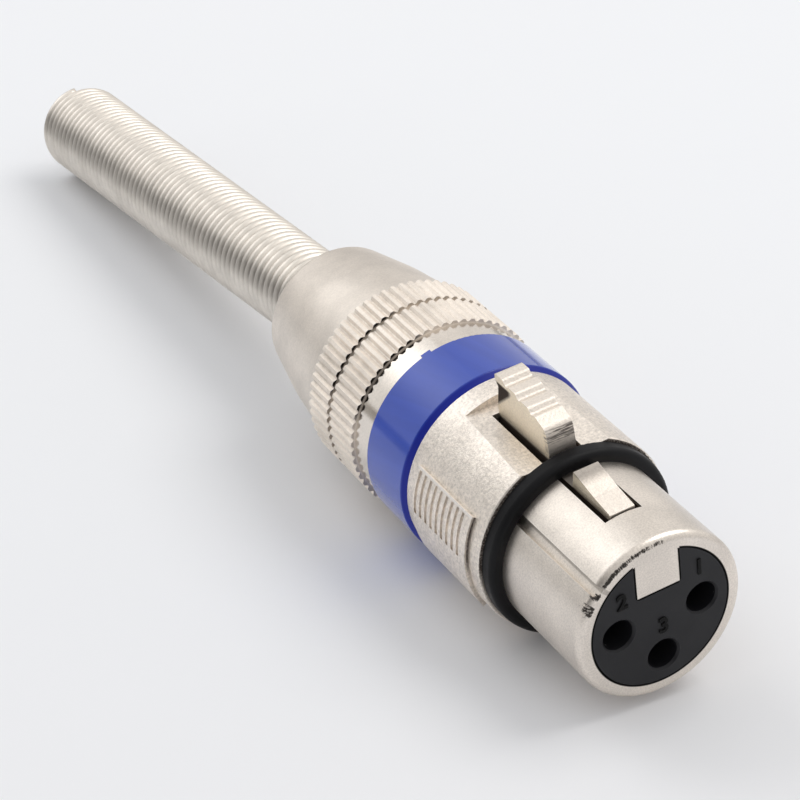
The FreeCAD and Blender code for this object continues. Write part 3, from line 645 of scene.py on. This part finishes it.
def contact_metal():
    """Plated copper alloy with tarnished patches, and painted shade deep inside the sockets."""
    material, tree, shader, place = new_material("contact_metal")
    along = tree.split(place)[1]
    tarnish = tree.remap(tree.noise(place, 420.0, 4.0, 0.6), 0.45, 0.7)
    base = tree.mix(tarnish, (0.66, 0.58, 0.44), (0.36, 0.28, 0.19))
    # Painted shade deep inside the sockets, and painted shade with residue in corners
    socket = tree.product(tree.remap(along, 3.2 * MM, 4.4 * MM, 0.45, 0.9),
                          tree.remap(along, 15.0 * MM, 15.5 * MM, 1.0, 0.0))
    dark = tree.most(shade_and_dirt(tree, place, 0.4 * MM, 0.6), socket)
    tree.feed(shader.inputs["Base Color"], tree.mix(dark, base, (0.05, 0.035, 0.022)))
    shader.inputs["Metallic"].default_value = 1.0
    tree.feed(shader.inputs["Roughness"], tree.remap(tarnish, 0.0, 1.0, 0.22, 0.42))
    rings = tree.add("CombineXYZ", {1: along})
    lathe = tree.bump(tree.noise(rings.outputs[0], 6000.0, 2.0, 0.5), 0.004 * MM, 0.7)
    height = grain(tree, place, 0.12 * MM)["Height"]
    tree.feed(shader.inputs["Normal"], tree.bump(height, 0.005 * MM, 0.7, lathe))
    return material


def material_named(name, make, *args):
    """A material that is made once."""
    return bpy.data.materials.get(name) or make(*args)


# Pieces

def dress(name, material):
    """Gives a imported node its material."""
    slots = NODES[name].data.materials
    slots.clear()
    slots.append(material)


def new_piece(name, mesh, body, material):
    """A new object from a mesh, which rides on a body."""
    piece = bpy.data.objects.new(name, mesh)
    bpy.context.scene.collection.objects.link(piece)
    mesh.materials.append(material)
    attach(piece, body)
    return piece


def skinned(name, edit, rings, smooth):
    """A closed mesh: faces between rings of points, and over the first and the last ring."""
    for first, second in zip(rings, rings[1:]):
        for j in range(len(first)):
            k = (j + 1) % len(first)
            face = edit.faces.new((first[j], first[k], second[k], second[j]))
            face.smooth = smooth
    edit.faces.new(rings[0])
    edit.faces.new(list(reversed(rings[-1])))
    bmesh.ops.recalc_face_normals(edit, faces=edit.faces[:])
    mesh = bpy.data.meshes.new(name)
    edit.to_mesh(mesh)
    edit.free()
    return mesh


def coil_centre(distance, bend, droop, ease):
    """Place and direction of the coil's axis, a distance from its head."""
    past = distance - bend
    if past <= -ease:
        return Vector((0, RETAINER_END_Y + distance, 0)), 0.0
    if past >= ease:
        end = Vector((0, RETAINER_END_Y + bend, 0))
        return end + Vector((0, math.cos(droop), -math.sin(droop))) * past, droop
    turn = droop * (past + ease) / (2 * ease)
    start = Vector((0, RETAINER_END_Y + bend - ease, 0))
    radius = 2 * ease / droop
    return start + Vector((0, math.sin(turn), math.cos(turn) - 1)) * radius, turn


def coil_radius(tail, turn, distance, bend):
    """Outer radius of the coil: wide head, narrow neck, then slowly wider to the end."""
    outer = tail.start_radius
    if distance >= bend:
        share = (distance - bend) / ((tail.turns - tail.bend_turn) * tail.wire)
        outer += (tail.end_radius - tail.start_radius) * share
    head = min(max((tail.head_turns - 0.9 - turn) / 0.7, 0.0), 1.0)
    return outer + (tail.head_radius - tail.start_radius) * head * head * (3 - 2 * head)


def coil_mesh(tail, steps=56, sides=12):
    """Round wire wound into the head, the neck and the drooping length."""
    wire = tail.wire
    # A hair less than half the pitch, so that the turns don't touch
    wire_radius = wire * 0.498
    bend = tail.bend_turn * wire
    ease = 1.2 * wire
    side = Vector((1, 0, 0))
    edit = bmesh.new()
    rings = []
    for i in range((tail.turns - 1) * steps + 1):
        turn = i / steps
        distance = (turn + 0.5) * wire
        centre, droop = coil_centre(distance, bend, tail.droop, ease)
        middle = coil_radius(tail, turn, distance, bend) - wire / 2
        a = 2 * math.pi * turn
        up = Vector((0, math.sin(droop), math.cos(droop)))
        axis = Vector((0, math.cos(droop), -math.sin(droop)))
        out = up * math.cos(a) + side * math.sin(a)
        lean = wire / (2 * math.pi * middle)
        across = (axis - (side * math.cos(a) - up * math.sin(a)) * lean).normalized()
        ring = []
        for j in range(sides):
            b = 2 * math.pi * j / sides
            point = out * math.cos(b) + across * math.sin(b)
            ring.append(edit.verts.new(centre + out * middle + point * wire_radius))
        rings.append(ring)
    return skinned("coil_wire", edit, rings, True)


def text_mesh(text, height, depth):
    """A raised character as a mesh, lying in the XY plane."""
    capital_share = 0.70
    curve = bpy.data.curves.new("numeral_text", "FONT")
    curve.body = text
    curve.align_x = "CENTER"
    curve.align_y = "CENTER"
    curve.size = height / capital_share
    curve.extrude = depth
    curve.offset = 0.035 * MM
    curve.bevel_depth = 0.03 * MM
    curve.bevel_resolution = 1
    curve.resolution_u = 6
    holder = bpy.data.objects.new("numeral_text", curve)
    bpy.context.scene.collection.objects.link(holder)
    bpy.context.view_layer.update()
    mesh = bpy.data.meshes.new_from_object(holder.evaluated_get(bpy.context.evaluated_depsgraph_get()))
    bpy.data.objects.remove(holder)
    bpy.data.curves.remove(curve)
    return mesh


def nub_mesh(angle, half_width, low, high, front, rear):
    """A small moulded nub that stands over the boot's collar, with a bevelled end."""
    bevel = 0.10 * MM
    edit = bmesh.new()
    rings = []
    for y, shrink in ((front, 0.0), (rear - bevel, 0.0), (rear, bevel)):
        corners = []
        for side, r in ((-1, low), (1, low), (1, high - shrink), (-1, high - shrink)):
            turn = angle + side * (half_width - shrink) / high
            corners.append(edit.verts.new((r * math.sin(turn), y, r * math.cos(turn))))
        rings.append(corners)
    return skinned("ring_nub", edit, rings, False)


class XLR_OT_castings(bpy.types.Operator):
    """Finish the nickel castings: shell, latch lever and boot"""
    bl_idname = "xlr_plug.castings"
    bl_label = "Finish the castings"

    def execute(self, context):
        look = context.scene.xlr_castings
        dress("front_shell", material_named("cast_nickel", cast_nickel, look))
        dress("latch_lever", material_named("lever_nickel", lever_nickel, look))
        dress("boot", material_named("turned_nickel", turned_nickel, look))
        return {"FINISHED"}


class XLR_OT_insert(bpy.types.Operator):
    """Finish the black insert and set its raised numerals"""
    bl_idname = "xlr_plug.insert"
    bl_label = "Finish the insert"

    def execute(self, context):
        look = context.scene.xlr_insert
        black = material_named("insert_moulding", black_moulding, "insert_moulding",
                               tuple(look.colour), 0.40, 0.3)
        dress("insert", black)
        dress("cable_clamp", black)
        inky = material_named("numeral_moulding", black_moulding, "numeral_moulding",
                              tuple(look.numeral), 0.30, 0.12)
        places = {"1": (4.0, 3.35), "2": (-3.55, 3.33), "3": (0.2, -0.98)}
        upright = Matrix.Rotation(math.pi / 2, 4, "X")
        for text, (x, z) in places.items():
            mesh = text_mesh(text, look.numeral_height, look.numeral_rise)
            mesh.transform(Matrix.Translation((x * MM, 0, z * MM)) @ upright)
            new_piece("numeral_" + text, mesh, "shell", inky)
        return {"FINISHED"}


class XLR_OT_contacts(bpy.types.Operator):
    """Finish the contacts and the ground lug"""
    bl_idname = "xlr_plug.contacts"
    bl_label = "Finish the contacts"

    def execute(self, context):
        plating = material_named("contact_metal", contact_metal)
        for name in ("contact_1", "contact_2", "contact_3", "ground_lug"):
            dress(name, plating)
        return {"FINISHED"}


class XLR_OT_rings(bpy.types.Operator):
    """Finish the coding ring and the sealing ring"""
    bl_idname = "xlr_plug.rings"
    bl_label = "Finish the rings"

    def execute(self, context):
        look = context.scene.xlr_rings
        blue = material_named("coding_plastic", coding_plastic, look)
        dress("coding_ring", blue)
        nub = nub_mesh(math.radians(-14.4), 0.5 * MM, 9.60 * MM, 9.84 * MM,
                       RING_END_Y - 0.2 * MM, RING_END_Y + 0.35 * MM)
        new_piece("ring_nub", nub, "coding_ring", blue)
        dress("seal_ring", material_named("seal_rubber", black_moulding, "seal_rubber",
                                          tuple(look.seal), 0.42, 0.18))
        return {"FINISHED"}


class XLR_OT_springs(bpy.types.Operator):
    """Wind the tail from round wire, and finish the other spring steel"""
    bl_idname = "xlr_plug.springs"
    bl_label = "Wind the tail"

    def execute(self, context):
        tail = context.scene.xlr_tail
        wire = material_named("plated_wire", plated_wire, tail)
        coil = new_piece("coil", coil_mesh(tail), "boot", wire)
        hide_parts("spring_tail")
        dress("spring_tail", wire)
        dress("latch_spring", wire)
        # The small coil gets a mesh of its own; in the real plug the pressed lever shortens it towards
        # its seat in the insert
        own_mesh(NODES["latch_spring"])
        dress("spring_retainer", wire)
        return {"FINISHED"}


class XLR_OT_stage(bpy.types.Operator):
    """Set up the floor, the lamps, the world and the camera"""
    bl_idname = "xlr_plug.stage"
    bl_label = "Set up the stage"

    def execute(self, context):
        look = context.scene.xlr_stage
        self.floor(context, look)
        self.world(context)
        self.lamps(context)
        self.camera(context, look)
        context.scene.view_settings.view_transform = "Standard"
        return {"FINISHED"}

    def floor(self, context, look):
        """A pale floor under the edge of the body and the end of the coil."""
        normal = Vector((0.134, 0.0413, 0.990)).normalized()
        body_front = Vector((0, 13.8 * MM, 0))
        body_radius = 9.51 * MM
        half_side = 4.0
        mesh = bpy.data.meshes.new("floor")
        edit = bmesh.new()
        bmesh.ops.create_grid(edit, x_segments=1, y_segments=1, size=half_side)
        edit.to_mesh(mesh)
        edit.free()
        turn = normal.to_track_quat("Z", "Y").to_matrix().to_4x4()
        mesh.transform(Matrix.Translation(body_front - normal * body_radius) @ turn)
        floor = bpy.data.objects.new("floor", mesh)
        context.scene.collection.objects.link(floor)
        material = bpy.data.materials.new("floor_card")
        tree = empty_tree(material)
        cloud = tree.noise(tree.add("TexCoord").outputs["Object"], 3.0, 2.0, 0.5)
        tint = tree.mix(tree.remap(cloud, 0.4, 0.6), tuple(look.floor), (0.905, 0.895, 0.905))
        path = tree.add("LightPath")
        geometry = tree.add("NewGeometry")
        # Seen in the metal at a grazing look, the floor ends in a dark strip
        steep = tree.add("VectorMath", {0: geometry.outputs["Incoming"],
                                        1: geometry.outputs["Normal"]}, operation="DOT_PRODUCT")
        edge = tree.remap(tree.math("ABSOLUTE", steep.outputs["Value"]), 0.08, 0.13, 1.0, 0.0)
        edge = tree.product(edge, path.outputs["Is Glossy Ray"])
        tint = tree.mix(edge, tint, (0.42, 0.40, 0.38))
        # Seen from below, it is clear
        card = tree.add("BsdfDiffuse", {"Color": tint})
        clear = tree.add("BsdfTransparent")
        below = tree.product(geometry.outputs["Backfacing"], path.outputs["Is Camera Ray"])
        both = tree.add("MixShader", {0: below, 1: card.outputs[0], 2: clear.outputs[0]})
        tree.add("OutputMaterial", {0: both.outputs[0]})
        mesh.materials.append(material)

    def world(self, context):
        """Soft studio surroundings: bright overhead, greyer towards the left horizon."""
        world = bpy.data.worlds.new("studio")
        context.scene.world = world
        tree = empty_tree(world)
        x, y, z = tree.split(tree.add("TexCoord").outputs["Generated"])
        overhead = tree.remap(z, 0.0, 0.45, 0.42, 1.0)
        right = tree.remap(x, 0.30, 0.60, 0.0, 0.88)
        level = tree.product(tree.most(overhead, right), tree.remap(x, -0.7, 0.6, 0.72, 1.0))
        room = tree.mix(level, (0.30, 0.29, 0.30), (0.90, 0.885, 0.87))
        around = tree.math("ARCTAN2", z, x)
        # A dark doorway high on the left, beside the plug, and a dark strip along the horizon
        door = tree.product(tree.sector(around, 131, 166, 6), tree.remap(y, 0.40, 0.62, 1.0, 0.0))
        room = tree.mix(door, room, (0.02, 0.018, 0.016))
        strip = tree.product(tree.remap(z, 0.07, 0.13, 1.0, 0.0), tree.remap(x, 0.1, 0.4, 1.0, 0.0))
        room = tree.mix(strip, room, (0.40, 0.375, 0.35))
        # A broad panel behind on the left, brightest right of its middle
        panel = tree.product(tree.sector(around, 70, 171, 1.2), tree.between(y, 0.50, 0.93, 0.05))
        glow = tree.product(tree.fade(around, 72, 108, 1.05, 1.85),
                            tree.fade(around, 108, 150, 1.0, 0.45))
        shown = tree.mix(panel, room, tree.add("CombineColor", {0: glow, 1: glow, 2: glow}).outputs[0])
        # Metals mirror the room, the rest is lit evenly, and the camera sees a pale backdrop
        path = tree.add("LightPath").outputs
        seen = tree.add("Background", {0: shown, 1: 1.0})
        lit = tree.add("Background", {0: (0.96, 0.98, 1.0), 1: 0.62})
        back = tree.add("Background", {0: (0.90, 0.90, 0.92), 1: 1.0})
        mirror = tree.most(path["Is Glossy Ray"], path["Is Transmission Ray"])
        first = tree.add("MixShader", {0: mirror, 1: lit.outputs[0], 2: seen.outputs[0]})
        final = tree.add("MixShader", {0: path["Is Camera Ray"], 1: first.outputs[0],
                                       2: back.outputs[0]})
        tree.add("OutputWorld", {0: final.outputs[0]})

    def lamps(self, context):
        """One broad lamp on the right, one behind and a weak one at the left."""
        plan = [("key_lamp", (0.34, 0.02, 0.42), 0.34, 0.95, (1.0, 0.985, 0.96)),
                ("rear_lamp", (-0.10, 0.48, 0.40), 0.36, 0.65, (0.98, 0.99, 1.0)),
                ("left_lamp", (-0.45, 0.10, 0.16), 0.16, 0.10, (1.0, 0.99, 0.97))]
        aim = Vector((0, 0.05, 0))
        for name, place, size, power, colour in plan:
            lamp = bpy.data.lights.new(name, "AREA")
            lamp.shape = "DISK"
            lamp.size = size
            lamp.energy = power
            lamp.color = colour
            holder = bpy.data.objects.new(name, lamp)
            holder.visible_glossy = name != "rear_lamp"
            holder.location = place
            holder.rotation_mode = "QUATERNION"
            holder.rotation_quaternion = (aim - Vector(place)).to_track_quat("-Z", "Y")
            context.scene.collection.objects.link(holder)

    def camera(self, context, look):
        """The photograph's view."""
        camera = bpy.data.cameras.new("camera")
        camera.lens = look.lens
        camera.sensor_width = 36.0
        camera.clip_start = 0.01
        camera.clip_end = 20.0
        holder = bpy.data.objects.new("camera", camera)
        place = Vector(look.camera_place)
        view = (Vector(look.camera_aim) - place).normalized()
        holder.rotation_mode = "QUATERNION"
        level = view.to_track_quat("-Z", "Y")
        holder.rotation_quaternion = Quaternion(view, look.camera_roll) @ level
        holder.location = place
        context.scene.collection.objects.link(holder)
        context.scene.camera = holder


class XLR_PT_panel(bpy.types.Panel):
    """Settings and steps of the plug"""
    bl_idname = "XLR_PT_panel"
    bl_label = "XLR plug"
    bl_space_type = "VIEW_3D"
    bl_region_type = "UI"
    bl_category = "XLR plug"

    def draw(self, context):
        for holder in HOLDERS:
            box = self.layout.box()
            settings = getattr(context.scene, holder)
            for name in settings.__annotations__:
                box.prop(settings, name)
        for operator in OPERATORS:
            self.layout.operator(operator.bl_idname)


HOLDERS = {
    "xlr_castings": CastingSettings,
    "xlr_insert": InsertSettings,
    "xlr_rings": RingSettings,
    "xlr_tail": TailSettings,
    "xlr_stage": StageSettings,
}
OPERATORS = (XLR_OT_castings, XLR_OT_insert, XLR_OT_contacts, XLR_OT_rings, XLR_OT_springs,
             XLR_OT_stage)


def register():
    for kind in (*HOLDERS.values(), *OPERATORS, XLR_PT_panel):
        bpy.utils.register_class(kind)
    for holder, kind in HOLDERS.items():
        setattr(bpy.types.Scene, holder, bpy.props.PointerProperty(type=kind))


def unregister():
    for holder in HOLDERS:
        delattr(bpy.types.Scene, holder)
    for kind in reversed((*HOLDERS.values(), *OPERATORS, XLR_PT_panel)):
        bpy.utils.unregister_class(kind)


def main():
    register()
    bpy.ops.xlr_plug.castings()
    bpy.ops.xlr_plug.insert()
    bpy.ops.xlr_plug.contacts()
    bpy.ops.xlr_plug.rings()
    bpy.ops.xlr_plug.springs()
    bpy.ops.xlr_plug.stage()
    bpy.context.view_layer.update()


if __name__ == "__main__":
    main()
